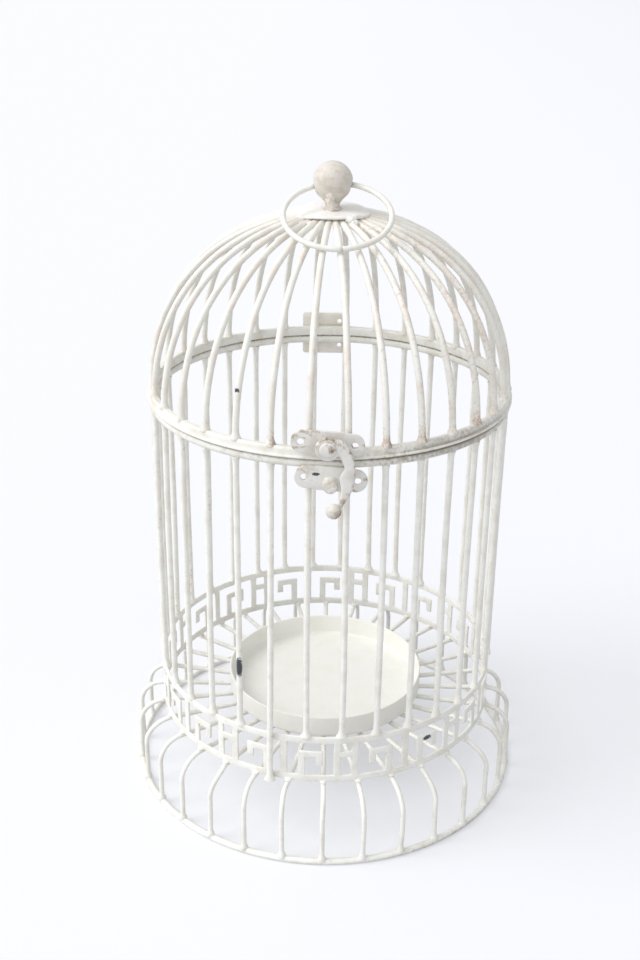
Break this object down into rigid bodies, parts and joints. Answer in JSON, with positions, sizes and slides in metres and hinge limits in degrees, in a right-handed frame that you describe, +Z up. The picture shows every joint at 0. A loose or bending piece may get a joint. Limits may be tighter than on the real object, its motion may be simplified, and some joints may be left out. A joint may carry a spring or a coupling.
{
  "type": "birdcage",
  "caption": "Small domed wire bird cage in cream painted metal with a hinged lid, swing-hook clasp, ring handle, Greek key band, flared skirt and a dish on its floor.",
  "frame": {"origin": "on the cage's axis in the plane of the floor, in the middle of the ground ring", "axes": "+Z up along the cage's axis; the clasp is at the front, on -Y; +X is to the right of someone who faces the clasp"},
  "size_m": [0.1654, 0.1654, 0.2597],
  "materials": {
    "bars": "cream paint on drawn wire, rubbed at the welds",
    "rings": "cream paint, rubbed beige along the edges",
    "band": "cream paint on cut sheet metal",
    "skirt": "cream paint on bent wire",
    "dish": "cream paint on a pressed dish",
    "ribs": "cream paint, rubbed beige and brown at the feet of the ribs",
    "cap": "cream paint on sheet metal",
    "finial": "mottled aged cream paint",
    "fittings": "aged cream paint with brown wear on the edges",
    "handle": "smooth cream paint on a wire ring"
  },
  "bodies": {
    "base": {"body_bar_01": "bars", "body_bar_02": "bars", "body_bar_03": "bars", "body_bar_04": "bars", "body_bar_05": "bars", "body_bar_06": "bars", "body_bar_07": "bars", "body_bar_08": "bars", "body_bar_09": "bars", "body_bar_10": "bars", "body_bar_11": "bars", "body_bar_12": "bars", "body_bar_13": "bars", "body_bar_14": "bars", "body_bar_15": "bars", "body_bar_16": "bars", "body_bar_17": "bars", "body_bar_18": "bars", "body_bar_19": "bars", "body_bar_20": "bars", "body_bar_21": "bars", "body_bar_22": "bars", "body_bar_23": "bars", "body_bar_24": "bars", "body_bar_25": "bars", "body_bar_26": "bars", "body_bar_27": "bars", "body_bar_28": "bars", "body_bar_29": "bars", "body_bar_30": "bars", "body_bar_31": "bars", "body_bar_32": "bars", "body_ring": "rings", "band_front_strip": "band", "band_back_strip": "band", "skirt_frame": "skirt", "tray": "dish", "hinge_lower_leaf": "fittings", "hinge_pin": "fittings", "clasp_lower_plate": "fittings", "catch_stud": "fittings"},
    "lid": {"lid_ring": "rings", "dome_ribs": "ribs", "cap_disc": "cap", "finial_ball": "finial", "hinge_upper_leaf": "fittings", "clasp_upper_plate": "fittings", "clasp_rivet": "fittings"},
    "hook": {"clasp_hook": "fittings"},
    "handle": {"ring_handle": "handle"}
  },
  "joints": [
    {"name": "lid_hinge", "type": "hinge", "parent": "base", "child": "lid", "pos_m": [-0.002, 0.07395, 0.17], "axis": [-1, 0, 0], "range_deg": [0, 180]},
    {"name": "hook_pivot", "type": "hinge", "parent": "lid", "child": "hook", "pos_m": [-0.0003, -0.0779, 0.1768], "axis": [0, -1, 0], "range_deg": [0, 100]},
    {"name": "handle_swing", "type": "hinge", "parent": "lid", "child": "handle", "pos_m": [0, 0, 0.2507], "axis": [-1, 0, 0], "range_deg": [0, 132]}
  ]
}
